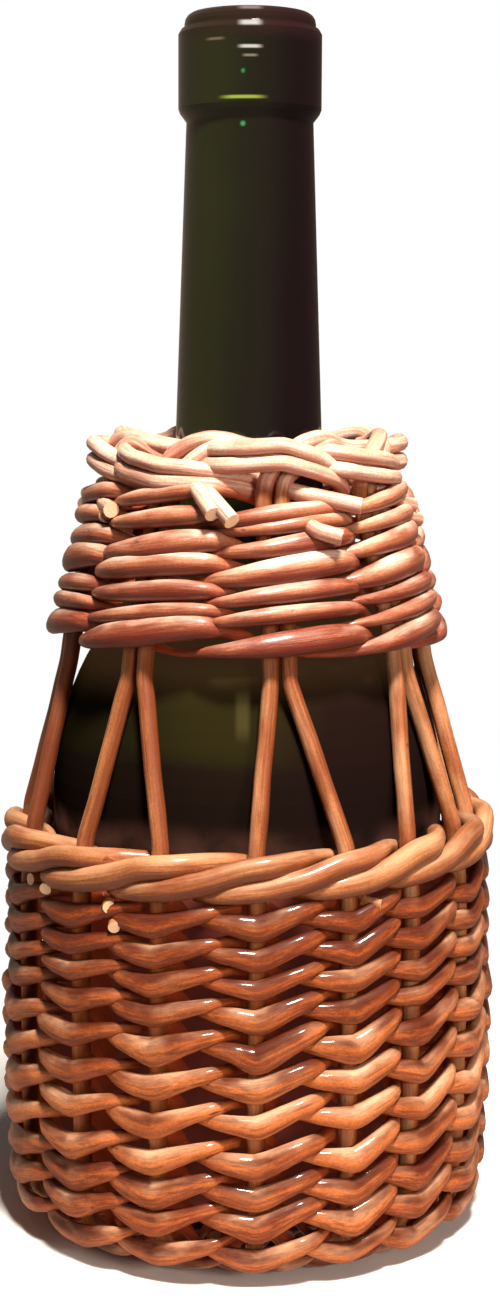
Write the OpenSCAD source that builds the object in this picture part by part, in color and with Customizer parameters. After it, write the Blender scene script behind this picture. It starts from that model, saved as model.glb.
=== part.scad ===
// Wicker-covered wine bottle: a dark green glass bottle with a long neck,
// held in a basket of round willow rods. The basket has a woven base and wall,
// an open window where the upright stakes show the glass, and a woven collar
// round the shoulder, where the same stakes are bent over in pairs.

/* [Bottle] */
// Height of the whole object, from the table to the lip
total_h = 260; // [245:1:280]
// Outside diameter of the glass body
body_d = 85; // [80:0.5:92]
// Thickness of the glass wall
glass_wall = 2.8; // [2:0.1:3.4]
// Height at which the shoulder begins to round in
shoulder_z = 94.5; // [92:0.5:98]
// Radius of the rounded shoulder
shoulder_r = 62; // [58:1:64]
// Angle at which the shoulder turns into the neck
shoulder_angle = 42; // [41:0.5:44]
// Radius of the hollow curve between the shoulder and the neck
neck_curve_r = 41; // [38:1:43]
// Diameter of the neck just under its ring
neck_d = 27; // [26:0.5:28.5]
// Diameter of the bore that takes the cork
bore_d = 18.5; // [18:0.1:19.5]
// Length of the straight cork bore
bore_l = 45; // [35:1:50]
// Thickness of the glass at the bottom
bottom_t = 5; // [4:0.5:7]
// How far the middle of the bottom is pushed up
punt_h = 9; // [4:0.5:14]

/* [Finish] */
// Diameter of the ring round the mouth
ring_d = 30.4; // [29:0.2:32]
// Height of the ring, its lower chamfer included
ring_h = 17.4; // [14:0.2:20]
// Diameter of the lip above the ring
lip_d = 27.8; // [26:0.2:28.6]
// Height of the lip above the ring
lip_h = 3.4; // [2.6:0.2:5]

/* [Willow] */
// Diameter of the upright stakes
stake_d = 3.5; // [3:0.1:4]
// Thickness of the weaving rods in the lower wall
weaver_d = 3.7; // [3.2:0.1:4]
// Thickness of the fine weaving rods near the rim
fine_d = 2.9; // [2.5:0.1:3.2]
// Thickness of the collar's weaving rods, across the wall
collar_t = 3.4; // [3:0.1:3.6]
// Height of the collar's weaving rods where they show
collar_rod_h = 3.9; // [3.6:0.1:4]
// Diameter of the rods in the rim border
rim_rod_d = 4.4; // [4:0.1:4.6]
// Diameter of the sticks that cross under the bottle
stick_d = 3.4; // [3:0.1:3.8]
// Clearance between rods, and between the rods and the glass
gap = 0.3; // [0.2:0.05:0.4]

/* [Basket] */
// Number of stakes, two for each pair in the collar
stakes = 16; // [12:2:18]
// Radius of the turn from the base into the wall
turn_r = 8; // [7.5:0.5:8.5]
// Height of the wall's swell, half way up
belly = 0.5; // [0:0.1:0.6]
// Rows of thick rods in the wall
thick_rows = 4; // [3:1:4]
// Rows of fine rods above them
fine_rows = 4; // [3:1:4]
// Height at which the stakes enter the collar
collar_z = 127; // [125:0.5:129]
// Rows woven in the collar
collar_rows = 7; // [6:1:7]
// Lean of the collar's wall from upright
collar_lean = 15.8; // [15:0.1:17]
// How much higher the rim is on the right than on the left
rim_rise = 3; // [0:0.5:4]
// Direction of the middle of the front pair, to the right of the front
pair_turn = 9.5; // [0:0.5:22]

/* [Hidden] */
// How far each pair of stakes stands to the right of its even place, by hand
foot_nudge = [4, 0, -3, 0, 0, 0, -2, 3];

// Rods of the base and the foot, and how far a rod swells where it shows
base_rod = 3;
foot_rod = 3.4;
foot_back = 1.8;
low_rod_h = 3.9;
low_back = 2;
swell = 0.2;

// Corner radius of a five-sided rod against the round rod that it stands for
fat = 1.08;
sides = 5;

// Slope of the turn at the foot row, whose rods stand on the table with the base's
foot_slope = 22;
foot_reach = (stake_d + foot_rod) / 2 + gap;
foot_up = rod_rise(foot_rod, foot_back);
foot_need = (turn_r + foot_reach + foot_rod * fat / 2) * cos(foot_slope) - turn_r + foot_up * sin(foot_slope);
base_need = (stick_d + base_rod + base_rod * fat) / 2 + gap;

// Height of the middle of the base weave
base_z = max(foot_need, base_need) + 0.02;

// Where the base sticks leave the cross and open out
spread_r = 10.3;
body_r = body_d / 2;
pairs = stakes / 2;
step = 360 / stakes;
stake_reach = gap + stake_d / 2;
wall_r = body_r + gap + weaver_d + stake_reach;
turn_z = base_z + turn_r;
turn_mid = wall_r - turn_r;
stick_end = turn_mid - 3.4;
window_top = collar_z - 4;
window_top_r = glass_r(window_top) + 1.9 + stake_d / 2;
collar_r = glass_r(collar_z + 1.5) + gap + collar_t + stake_reach;
collar_in = tan(collar_lean);

// Rows of the basket, from the base to the collar
base_rows = 3;
base_row_h = (stick_end - spread_r - 1) / base_rows;
base_rod_w = base_row_h / 2 - gap;
low_rows = 3;
low_h = pair_height(low_rod_h, low_back);
foot_down = turn_r * (90 - foot_slope) * PI / 180;
low_foot = turn_z - foot_down + pair_height(foot_rod, foot_back) / 2;
wall_foot = low_foot + low_rows * low_h + 0.1;
thick_h = pair_height(front_h(weaver_d), back_h(weaver_d));
fine_h = pair_height(front_h(fine_d), back_h(fine_d));
wall_top = wall_foot + thick_rows * thick_h + fine_rows * fine_h + 0.2;
window_z = wall_top + 9.5;
row_count = thick_rows + fine_rows;
collar_h = pair_height(collar_rod_h * 0.62, collar_rod_h * 0.4) + gap;
collar_foot = collar_z + 1.2;

// Height of a woven rod in front of a stake, where it swells, and behind it
function front_h(d) = d * (1 + swell);
function back_h(d) = d * (1 - swell);

// Height of a row in which two rods twist round the stakes
function pair_height(front, back) = front + back + gap;
function rod_rise(front, back) = ((front + back) / 2 + gap) / 2;

// Wave of a woven rod: 1 in front of a stake, -1 behind it, period 2
function weave(u) =
    let (m = u - 2 * floor(u / 2), d = min(m, 2 - m))
    max(-1, min(1, 4 * (0.5 - d)));

// Outside radius of the glass at a height, inset by a wall thickness
function shoulder_end(inset = 0) = shoulder_z + (shoulder_r - inset) * sin(shoulder_angle);
function neck_foot_r(inset = 0) =
    body_r - inset - (shoulder_r - inset + neck_curve_r + inset) * (1 - cos(shoulder_angle));
function neck_foot_z(inset = 0) =
    shoulder_z + (shoulder_r + neck_curve_r) * sin(shoulder_angle);
function glass_r(z) =
    z < shoulder_z ? body_r :
    z < shoulder_end() ? body_r - shoulder_r + sqrt(shoulder_r ^ 2 - (z - shoulder_z) ^ 2) :
    z < neck_foot_z() ? neck_foot_r() + neck_curve_r - sqrt(neck_curve_r ^ 2 - (neck_foot_z() - z) ^ 2) :
    neck_foot_r();

// Middle line of the wall: radius at a height
function wall_mid(z) =
    let (h = (z - turn_z) / (window_z - turn_z))
    wall_r - belly * (2 * h - 0.9) ^ 2;

// Middle line of the collar's wall
function collar_mid(z) = collar_r - (z - collar_z - 3) * collar_in;

// Direction of a stake at the foot and at the head of the window
function pair_of(k) = floor(k / 2);
function side_of(k) = k - 2 * pair_of(k) == 0 ? -1 : 1;
function nudge(j) = foot_nudge[(j + 8 * pairs) % pairs % 8];
function pair_angle(j) = j * 2 * step + pair_turn;
function foot_angle(k) = pair_angle(pair_of(k)) + side_of(k) * step / 2 + nudge(pair_of(k));
function half_pair(r) = asin((stake_d + gap) / 2 / r);

// Direction at a place counted in stakes, or in pairs
function stake_angle(u) =
    let (k = floor(u))
    foot_angle(k) + (u - k) * (foot_angle(k + 1) - foot_angle(k));
function pair_place(u) = pair_angle(0) + u * 2 * step;

// Point at a direction from the front, a radius and a height
function spot(a, r, z) = [r * sin(a), -r * cos(a), z];
function tilt(a, z) =
    let (fade = min(1, max(0, (collar_z - z) / (collar_z - wall_top))))
    rim_rise / 2 * sin(a) * min(1, z / wall_top) * fade;

// One cross-section of a woven rod, square to the way round the bottle.
// mid is [radius, height], dir the slope of the wall there
function section(a, mid, dir, thick, high) =
    [for (i = [0 : sides - 1])
        let (
            n = fat * thick / 2 * cos(360 / sides * i),
            t = -fat * high / 2 * sin(360 / sides * i),
            r = mid[0] + n * sin(dir) + t * cos(dir),
            z = mid[1] - n * cos(dir) + t * sin(dir)
        )
        spot(a, r, z + tilt(a, z))];

// Middle of a woven rod: off across the wall, up along it
function shifted(mid, dir, off, up) =
    [mid[0] + off * sin(dir) + up * cos(dir), mid[1] - off * cos(dir) + up * sin(dir)];

// Directions along a path, and a side direction carried along it
function unit(v) = v / norm(v);
function ways(p) = [for (i = [0 : len(p) - 1]) unit(p[min(i + 1, len(p) - 1)] - p[max(i - 1, 0)])];
function squared(v, t) = unit(v - (v * t) * t);
function carried(w, first) =
    [for (i = 0, v = squared(first, w[0]); i < len(w);
        i = i + 1, v = i < len(w) ? squared(v, w[i]) : v) v];

// Cross-sections of a round rod along a path of points
function along(p, d_start, d_end, first) =
    let (w = ways(p), s = carried(w, first), n = len(p) - 1)
    [for (i = [0 : n])
        let (r = fat * (d_start + (d_end - d_start) * i / n) / 2, up = cross(w[i], s[i]))
        [for (k = [0 : sides - 1])
            p[i] + r * (cos(360 / sides * k) * s[i] + sin(360 / sides * k) * up)]];

// Solid rods through lists of cross-sections, each capped or closed in a ring
module rods(list, closed = false) {
    counts = [for (s = list) len(s)];
    starts = [for (i = 0, n = 0; i < len(list); n = n + sides * counts[i], i = i + 1) n];
    points = [for (s = list) for (ring = s) for (p = ring) p];
    skins = [for (j = [0 : len(list) - 1])
        for (i = [0 : counts[j] - (closed ? 1 : 2)])
            for (k = [0 : sides - 1])
                let (
                    a = starts[j] + sides * i,
                    b = starts[j] + sides * ((i + 1) % counts[j]),
                    m = (k + 1) % sides
                )
                for (f = [[a + k, b + m, a + m], [a + k, b + k, b + m]]) f];
    caps = closed ? [] : [for (j = [0 : len(list) - 1])
        let (last = starts[j] + sides * (counts[j] - 1))
        for (k = [1 : sides - 2])
            for (f = [[starts[j], starts[j] + k, starts[j] + k + 1], [last, last + k + 1, last + k]]) f];
    polyhedron(points, concat(skins, caps));
}

// Row of two rods that twist round each stake, front and back in turn.
// start is the stake behind which both rods begin and end
function twist_rod(first, count, mid, dir, thick, front, back, reach, in_pairs) =
    let (
        ends = in_pairs ? front * 0.62 : front,
        up = rod_rise(ends, back),
        places = in_pairs ? [0.27, 0.73, 1] : [0.25, 0.75]
    )
    [for (i = [0 : count - 1])
        for (p = places)
            if (i < count - 1 || p < 1)
            let (
                u = i + p,
                w = weave(u - 1),
                a = in_pairs ? pair_place(first + u) : stake_angle(first + u)
            )
            section(a, shifted(mid, dir, reach * w, up * weave(u - 1.5)), dir, thick,
                w < 0 ? back : p == 1 ? front : ends)];

module twist_row(mid, dir, thick, front, back, first = 0, in_pairs = false, rod = stake_d) {
    reach = (rod + thick) / 2 + gap;
    count = in_pairs ? pairs : stakes;
    rods([for (s = [0, 1])
        twist_rod(first + s, count, mid, dir, thick, front, back, reach, in_pairs)]);
}

// Place on the turn from base to wall, by distance below the turn's top
function on_turn(s) =
    let (a = 90 - s / turn_r * 180 / PI)
    [[turn_mid + turn_r * sin(a), turn_z - turn_r * cos(a)], a];

// The glass bottle: a hollow turned form with a push-up bottom
module glass_bottle() {
    floor_z = base_z + stake_d / 2 + base_rod + 3 * gap;
    heel = 6;
    n = 12;
    ring_top = total_h - lip_h;
    ring_low = ring_top - ring_h;
    chamfer = (ring_d - neck_d) / 2;
    lip_round = 2.2;
    inner_r = body_r - glass_wall;
    in_curve = neck_curve_r + glass_wall;
    in_round = shoulder_r - glass_wall;
    in_neck = neck_foot_r() - glass_wall;
    bore_foot = total_h - bore_l;
    stand_r = body_r - heel;
    color("#26301c")
    rotate_extrude($fn = 96)
    polygon(concat(
        [[0, floor_z + punt_h]],
        [for (i = [1 : n]) let (t = i / n) [stand_r * t, floor_z + punt_h * (1 - t ^ 2) ^ 1.5]],
        [for (i = [1 : 6]) let (a = i * 15) [stand_r + heel * sin(a), floor_z + heel * (1 - cos(a))]],
        [for (i = [0 : n]) let (a = shoulder_angle * i / n)
            [body_r - shoulder_r * (1 - cos(a)), shoulder_z + shoulder_r * sin(a)]],
        [for (i = [1 : n]) let (a = shoulder_angle * (1 - i / n))
            [neck_foot_r() + neck_curve_r * (1 - cos(a)), neck_foot_z() - neck_curve_r * sin(a)]],
        [[neck_d / 2, ring_low - chamfer]],
        [[ring_d / 2 - 0.4, ring_low], [ring_d / 2, ring_low + 1], [ring_d / 2, ring_top - 1]],
        [[ring_d / 2 - 0.6, ring_top], [lip_d / 2, ring_top + 0.4]],
        [for (i = [0 : 4]) let (a = 22.5 * i)
            [lip_d / 2 - lip_round * (1 - cos(a)), total_h - lip_round * (1 - sin(a))]],
        [[bore_d / 2 + 0.6, total_h], [bore_d / 2, total_h - 0.6]],
        [[bore_d / 2, bore_foot], [bore_d / 2 + 1, bore_foot - 6]],
        [for (i = [0 : n]) let (a = shoulder_angle * i / n)
            [in_neck + in_curve * (1 - cos(a)), neck_foot_z() - in_curve * sin(a)]],
        [for (i = [1 : n]) let (a = shoulder_angle * (1 - i / n))
            [inner_r - in_round * (1 - cos(a)), shoulder_z + in_round * sin(a)]],
        [for (i = [0 : 6]) let (a = 90 - i * 15)
            [inner_r - heel * (1 - sin(a)), floor_z + bottom_t + heel * (1 - cos(a))]],
        [for (i = [1 : n]) let (t = 1 - i / n)
            [(inner_r - heel) * t, floor_z + bottom_t + punt_h * (1 - t ^ 2) ^ 1.5]]
    ));
}

// Eight sticks, four across four, opened out like spokes
module base_sticks() {
    quarter = floor(pairs / 2);
    cross_l = 7;
    color("#a8642f")
    rods([for (k = [0 : pairs - 1])
        let (
            lower = k < quarter,
            place = lower ? k : k - quarter,
            count = lower ? quarter : pairs - quarter,
            mid_place = (lower ? 0 : quarter) + (count - 1) / 2,
            far = (lower ? 0 : quarter) + pairs + count - 1 - place,
            way = stick_angle(mid_place),
            c = spot(way + 90, (place - (count - 1) / 2) * (stick_d + gap),
                base_z + (lower ? -1 : 1) * (stick_d + gap) / 2),
            o = spot(way, cross_l, 0)
        )
        along([
            spot(stick_angle(k), stick_end, base_z), spot(stick_angle(k), spread_r, base_z),
            c + o, c - o,
            spot(stick_angle(far), spread_r, base_z),
            spot(stick_angle(far), stick_end, base_z)
        ], stick_d, stick_d, [0, 0, 1])]);
}
function stick_angle(k) = stake_angle(k) + step / 2;

// Row of the flat base, woven round the sticks from the rim of the base inwards
module base_row(i) {
    r = stick_end + 0.1 - (i - 0.5) * base_row_h;
    color("#8a4a22")
    twist_row([r, base_z], 0, base_rod, base_rod_w, base_rod_w, first = 3 * i + 0.5, rod = stick_d);
}

// Row that holds the stakes where they turn up
module foot_row() {
    place = on_turn(foot_down);
    color("#8f4c22")
    twist_row(place[0], place[1], foot_rod, foot_rod, foot_back, first = 5);
}

// Crowded rows above it: the first on the turn, the others on the wall
module low_row(i) {
    z = low_foot + (i - 0.5) * low_h;
    place = z < turn_z ? on_turn(turn_z - z) : [[wall_mid(z), z], 90];
    color("#9c5526")
    twist_row(place[0], place[1], foot_rod, low_rod_h, low_back, first = 5 + 3 * i);
}

// Row of the wall: thick rods below, fine rods near the rim
function row_z(i) = wall_foot + (i < thick_rows ? (i + 0.5) * thick_h :
    thick_rows * thick_h + (i - thick_rows + 0.5) * fine_h);

module wall_row(i) {
    z = row_z(i);
    d = i < thick_rows ? weaver_d : fine_d;
    color(i % 2 == 0 ? "#a55c2a" : "#96501f")
    twist_row([wall_mid(z), z], 90, d, front_h(d), back_h(d), first = 5 + 3 * i);
}

// Thick rods of the rim border, one for each stake, each lying over the next
module rim_border() {
    thick = rim_rod_d * 0.84;
    out = (stake_d + thick) / 2 + gap;
    in = (stake_d + thick * 0.8) / 2 + gap;
    low = wall_top + rim_rod_d / 2 + gap;
    lift = rim_rod_d + gap;
    // Along the rim in stake steps, off the wall's middle, up in rods, and size
    path = [
        [-0.14, out, 0, 0.9], [0.15, out, 0.08, 1], [0.5, out, 0.42, 1], [0.88, out, 1.02, 1],
        [1.16, out, 1.1, 0.95], [1.5, 0.6, 1.16, 0.85], [1.84, -in, 1.06, 0.8], [2.16, -in, 0.8, 0.7]
    ];
    color("#c07a3e")
    rods([for (k = [0 : stakes - 1])
        [for (p = path)
            section(stake_angle(k + p[0]), [wall_mid(wall_top) + p[1], low + p[2] * lift], 90,
                thick * p[3], rim_rod_d * p[3])]]);
}

module collar_row(i) {
    z = collar_foot + (i + 0.5) * collar_h;
    dir = 90 + collar_lean;
    color(i % 2 == 0 ? "#d9a06a" : "#cd8f5a")
    twist_row([collar_mid(z), z], dir, collar_t, collar_rod_h, collar_rod_h * 0.4,
        first = 4 + i, in_pairs = true);
}

// One stake: from the base up the wall, through the window and the collar, then
// bent over to the right with its partner, out over the next pair and in again
module stake(k) {
    a0 = foot_angle(k);
    c = pair_angle(pair_of(k));
    top_z = collar_foot + collar_rows * collar_h;
    top_r = collar_mid(top_z);
    head = c + side_of(k) * half_pair(top_r);
    neck_in = c + side_of(k) * half_pair(collar_r);
    out = stake_d + gap - 0.1;
    left = side_of(k) < 0;
    // Round the border: in eighths of the way to the next pair, off the collar's
    // middle, and up from its top in rods. The left rod lies on the right one
    bend = left ?
        [[-0.68, 0, 2.11], [-0.3, 0, 3.2], [0.7, 0.1 * out, 3.83], [2.2, 0.35 * out, 3.8]] :
        [[0.68, 0, 1.83], [1, 0.05 * out, 2.46], [2.2, 0.35 * out, 2.77]];
    lie = [
        [3.4, 0.73 * out, 2.57], [4.8, out, 2.11], [7.2, out, 1.49], [9.3, out, 0.91],
        [11.5, -out, 0.83], [14.5, -out, 0.71], [17, -out, 0.66]
    ];
    over = concat(bend, [for (p = lie) [p[0], p[1], p[2] + (left ? 1 : 0)]]);
    color(k % 2 == 0 ? "#b8703a" : "#c27b44")
    rods([along(concat(
        [spot(a0, turn_mid - 2.9, base_z), spot(a0, turn_mid, base_z)],
        [for (s = [0.25, 0.5, 0.75, 1]) let (b = 90 * s)
            spot(a0, turn_mid + turn_r * sin(b), turn_z - turn_r * cos(b))],
        [for (z = [wall_foot, (wall_foot + wall_top) / 2, window_z]) spot(a0, wall_mid(z), z)],
        [spot(neck_in, window_top_r, window_top)],
        [spot(neck_in, collar_mid(collar_z + 2), collar_z + 2)],
        [spot(head, top_r, top_z)],
        [for (p = over) spot(c + p[0] * step / 4, top_r + p[1], top_z + p[2] * stake_d)]
    ), stake_d, stake_d - 0.6, spot(a0 + 90, 1, 0))]);
}

glass_bottle();
base_sticks();
for (i = [1 : base_rows]) base_row(i);
foot_row();
for (i = [1 : low_rows]) low_row(i);
for (i = [1 : row_count]) wall_row(i - 1);
rim_border();
for (i = [1 : collar_rows]) collar_row(i - 1);
for (i = [1 : stakes]) stake(i - 1);
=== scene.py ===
import math
import random

import bpy
import numpy as np
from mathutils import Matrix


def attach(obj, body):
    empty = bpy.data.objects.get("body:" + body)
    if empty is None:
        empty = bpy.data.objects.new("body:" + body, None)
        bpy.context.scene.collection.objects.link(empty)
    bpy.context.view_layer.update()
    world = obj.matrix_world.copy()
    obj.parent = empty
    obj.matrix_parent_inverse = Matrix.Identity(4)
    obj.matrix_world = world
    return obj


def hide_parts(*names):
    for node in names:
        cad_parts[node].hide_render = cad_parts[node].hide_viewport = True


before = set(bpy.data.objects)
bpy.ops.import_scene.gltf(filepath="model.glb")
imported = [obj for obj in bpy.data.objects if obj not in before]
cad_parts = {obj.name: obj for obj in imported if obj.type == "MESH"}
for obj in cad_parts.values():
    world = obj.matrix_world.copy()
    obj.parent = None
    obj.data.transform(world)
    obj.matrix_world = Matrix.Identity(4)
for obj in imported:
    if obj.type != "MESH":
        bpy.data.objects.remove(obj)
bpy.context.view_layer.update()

mm = 0.001
draw = random.Random(7)


# Where the camera stood, worked out from the ellipses of the basket's rows
camera = {
    "place": (0, -0.47797, 0.18574),
    "pitchDown": 7.387,
    "roll": -0.22,
    "focalPixels": 2202.2,
    "photoHeight": 1309,
    "shiftPixels": 1.04,
    "sensor": 36,
}

camData = bpy.data.cameras.new("photoCamera")
camData.sensor_fit = "VERTICAL"
camData.sensor_height = camera["sensor"]
camData.sensor_width = camera["sensor"]
camData.lens = camera["focalPixels"] * camera["sensor"] / camera["photoHeight"]
camData.shift_x = camera["shiftPixels"] / camera["photoHeight"]
cam = bpy.data.objects.new("photoCamera", camData)
bpy.context.scene.collection.objects.link(cam)
cam.location = camera["place"]
cam.rotation_euler = (
    math.radians(90 - camera["pitchDown"]),
    math.radians(camera["roll"]),
    0,
)
bpy.context.scene.camera = cam
print("camera set")


# The bottle and the basket in numbers, in millimetres, as the solids have them
bottle = {"bodyR": 42.5, "shoulderZ": 94.5, "shoulderR": 62, "turn": 42, "neckCurveR": 41}

basket = {
    "stakes": 16,
    "stakeD": 3.5,
    "gap": 0.3,
    "baseZ": 5.16,
    "wallR": 48.55,
    "turnR": 8,
    "belly": 0.5,
    "wallFoot": 25.13,
    "wallTop": 80.53,
    "rimHeight": 9.5,
    "windowEnd": 123,
    "collarZ": 127,
    "collarFoot": 128.2,
    "collarBend": 129,
    "collarMiddleZ": 130,
    "collarTop": 160.2,
    "collarT": 3.4,
    "collarLean": 15.8,
    "rimRise": 3,
    "pairTurn": 9.5,
    "nudges": [4, 0, -3, 0, 0, 0, -2, 3],
}
step = 360 / basket["stakes"]
pairCount = basket["stakes"] // 2
turnZ = basket["baseZ"] + basket["turnR"]
turnMiddle = basket["wallR"] - basket["turnR"]
windowZ = basket["wallTop"] + basket["rimHeight"]


def sind(a):
    return math.sin(math.radians(a))


def cosd(a):
    return math.cos(math.radians(a))


def share(x):
    return min(1, max(0, x))


def glassR(z):
    b = bottle
    shoulderEnd = b["shoulderZ"] + b["shoulderR"] * sind(b["turn"])
    neckZ = shoulderEnd + b["neckCurveR"] * sind(b["turn"])
    neckR = b["bodyR"] - (b["shoulderR"] + b["neckCurveR"]) * (1 - cosd(b["turn"]))
    if z < b["shoulderZ"]:
        return b["bodyR"]
    if z < shoulderEnd:
        rise = z - b["shoulderZ"]
        return b["bodyR"] - b["shoulderR"] + math.sqrt(b["shoulderR"] ** 2 - rise ** 2)
    if z < neckZ:
        fall = neckZ - z
        return neckR + b["neckCurveR"] - math.sqrt(b["neckCurveR"] ** 2 - fall ** 2)
    return neckR


# The middle of the stakes where the collar begins
collarR = (
    glassR(basket["collarZ"] + 1.5) + 2 * basket["gap"] + basket["collarT"] + basket["stakeD"] / 2
)


def wallR(z):
    h = (z - turnZ) / (windowZ - turnZ)
    return basket["wallR"] - basket["belly"] * (2 * h - 0.9) ** 2


def collarMiddle(z):
    lean = math.tan(math.radians(basket["collarLean"]))
    return collarR - (z - basket["collarMiddleZ"]) * lean


def sideOf(k):
    # The left stake of a pair is -1 and its right stake 1
    return -1 if k % 2 == 0 else 1


def pairAngle(u):
    return basket["pairTurn"] + u * 2 * step


def footAngle(k):
    pair = k // 2
    return pairAngle(pair) + sideOf(k) * step / 2 + basket["nudges"][pair % pairCount]


def stakeAngle(u):
    k = math.floor(u)
    return footAngle(k) + (u - k) * (footAngle(k + 1) - footAngle(k))


def tilt(a, z):
    # The rim rises to one side, and this fades out towards the table and the collar
    window = basket["collarZ"] - basket["wallTop"]
    fade = share((basket["collarZ"] - z) / window)
    return basket["rimRise"] / 2 * sind(a) * min(1, z / basket["wallTop"]) * fade


def onTurn(s):
    # A place on the turn from base to wall, by the distance below its top
    a = 90 - math.degrees(s / basket["turnR"])
    return turnMiddle + basket["turnR"] * sind(a), turnZ - basket["turnR"] * cosd(a), a


# A station of a rod: its place, the way out of the wall, the rod's thickness
# that way, its height along the wall, and whether it lies outside, 1, or
# inside, -1. slope is 90 on an upright wall
def station(angle, r, z, slope=90, thick=3.5, tall=3.5, off=0, up=0, side=1):
    rr = r + off * sind(slope) + up * cosd(slope)
    zz = z - off * cosd(slope) + up * sind(slope)
    zz += tilt(angle, zz)
    s, c = sind(angle), cosd(angle)
    way = [s * sind(slope), -c * sind(slope), -cosd(slope)]
    return [rr * s, -rr * c, zz, *way, thick, tall, side]


# How every rod has grown: after how many rings it wanders anew to a side and in
# thickness, how far it is off round, and the turn up to which it is shaded smooth
growth = {"roamEvery": 9, "unevenEvery": 7, "offRound": (0.01, 0.03), "smoothTurn": 48}


def onlyActive(obj):
    bpy.ops.object.select_all(action="DESELECT")
    obj.select_set(True)
    bpy.context.view_layer.objects.active = obj


def straightRod(rings, sides):
    # A cylinder cut into rings a unit apart, which is then laid along a path
    bpy.ops.object.select_all(action="DESELECT")
    bpy.ops.mesh.primitive_cylinder_add(
        vertices=sides, radius=1, depth=rings - 1, location=(0, 0, (rings - 1) / 2)
    )
    rod = bpy.context.object
    bpy.ops.object.transform_apply(location=True, rotation=False, scale=False)
    mesh = rod.data
    bpy.ops.object.mode_set(mode="EDIT")
    bpy.ops.mesh.select_mode(type="EDGE")
    bpy.ops.mesh.select_all(action="DESELECT")
    bpy.ops.object.mode_set(mode="OBJECT")
    for edge in mesh.edges:
        a, b = (mesh.vertices[v].co for v in edge.vertices)
        edge.select = abs(a.z - b.z) > 0.5
    bpy.ops.object.mode_set(mode="EDIT")
    bpy.ops.mesh.subdivide_edgering(number_cuts=rings - 2, interpolation="LINEAR")
    bpy.ops.object.mode_set(mode="OBJECT")
    return rod


def runLength(points):
    # How far along a line of points each of them lies
    steps = np.linalg.norm(np.diff(points, axis=0), axis=1)
    return np.concatenate([[0], np.cumsum(steps)])


def unit(vectors):
    return vectors / np.linalg.norm(vectors, axis=1)[:, None]


def resampled(path, rings, rounding):
    # Stations at even steps along the path, with its corners rounded
    path = np.array(path, float)
    length = runLength(path[:, :3])
    at = np.linspace(0, length[-1], rings)
    out = np.stack([np.interp(at, length, path[:, i]) for i in range(path.shape[1])], axis=1)
    for _ in range(rounding):
        out[1:-1] = (out[:-2] + 2 * out[1:-1] + out[2:]) / 4
    return out


def wander(count, every, size):
    # A slow random wave, for what a growing rod does along its length
    knots = [draw.uniform(-size, size) for _ in range(max(3, int(count / every) + 2))]
    return np.interp(np.linspace(0, len(knots) - 1, count), range(len(knots)), knots)


def mark(mesh, name, kind, domain, values):
    # What the willow's material reads from a rod, on its points or its faces
    field = "vector" if kind == "FLOAT_VECTOR" else "value"
    mesh.attributes.new(name, kind, domain).data.foreach_set(field, values)


def layRod(name, template, stations, uneven, roam, tone):
    # A copy of the straight rod, laid along its stations
    rings = len(stations)
    flat = np.zeros(len(template.data.vertices) * 3)
    template.data.vertices.foreach_get("co", flat)
    flat = flat.reshape(-1, 3)
    ring = np.clip(np.rint(flat[:, 2]).astype(int), 0, rings - 1)
    around = np.arctan2(flat[:, 1], flat[:, 0])
    centre, out = stations[:, :3].copy(), stations[:, 3:6]
    for axis in range(3):
        centre[:, axis] += wander(rings, growth["roamEvery"], roam)
    way = unit(np.gradient(centre, axis=0))
    out = unit(out - (out * way).sum(1)[:, None] * way)
    along = np.cross(way, out)
    grow = 1 + wander(rings, growth["unevenEvery"], uneven)
    thick, tall = stations[:, 6] / 2 * grow, stations[:, 7] / 2 * grow
    bump = 1 + draw.uniform(*growth["offRound"]) * np.sin(3 * around + draw.uniform(0, 6))
    co = (
        centre[ring]
        + out[ring] * (thick[ring] * np.cos(around) * bump)[:, None]
        + along[ring] * (tall[ring] * np.sin(around) * bump)[:, None]
    )
    # No two rods share a stretch of grain
    seed = draw.uniform(0, 400)
    grain = np.stack([
        runLength(centre)[ring] + seed,
        tall[ring] * np.cos(around) + seed / 3,
        tall[ring] * np.sin(around),
    ], axis=1)
    tones = np.full(len(co), tone + draw.uniform(-1, 1), np.float32)

    rod = bpy.data.objects.new(name, template.data.copy())
    bpy.context.scene.collection.objects.link(rod)
    mesh = rod.data
    mesh.vertices.foreach_set("co", (co * mm).ravel())
    mark(mesh, "grain", "FLOAT_VECTOR", "POINT", grain.astype(np.float32).ravel())
    mark(mesh, "tone", "FLOAT", "POINT", tones)
    mark(mesh, "side", "FLOAT", "POINT", stations[ring, 8].astype(np.float32))
    ends = [float(len(face.vertices) > 4) for face in mesh.polygons]
    mark(mesh, "cutEnd", "FLOAT", "FACE", ends)
    return rod


def makeRods(name, paths, rings, sides, rounding, uneven=0.05, roam=0.12, tone=0):
    template = straightRod(rings, sides)
    made = [
        layRod(name, template, resampled(path, rings, rounding), uneven, roam, tone)
        for path in paths
    ]
    bpy.data.objects.remove(template)
    onlyActive(made[0])
    for rod in made:
        rod.select_set(True)
    if len(made) > 1:
        bpy.ops.object.join()
    piece = bpy.context.object
    piece.name = name
    bpy.ops.object.mode_set(mode="EDIT")
    bpy.ops.mesh.select_all(action="SELECT")
    bpy.ops.mesh.normals_make_consistent(inside=False)
    bpy.ops.object.mode_set(mode="OBJECT")
    bpy.ops.object.shade_smooth_by_angle(angle=math.radians(growth["smoothTurn"]))
    return piece


def srgb(red, green, blue):
    def one(c):
        c = c / 255
        return c / 12.92 if c < 0.04045 else ((c + 0.055) / 1.055) ** 2.4
    return (one(red), one(green), one(blue), 1)


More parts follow.
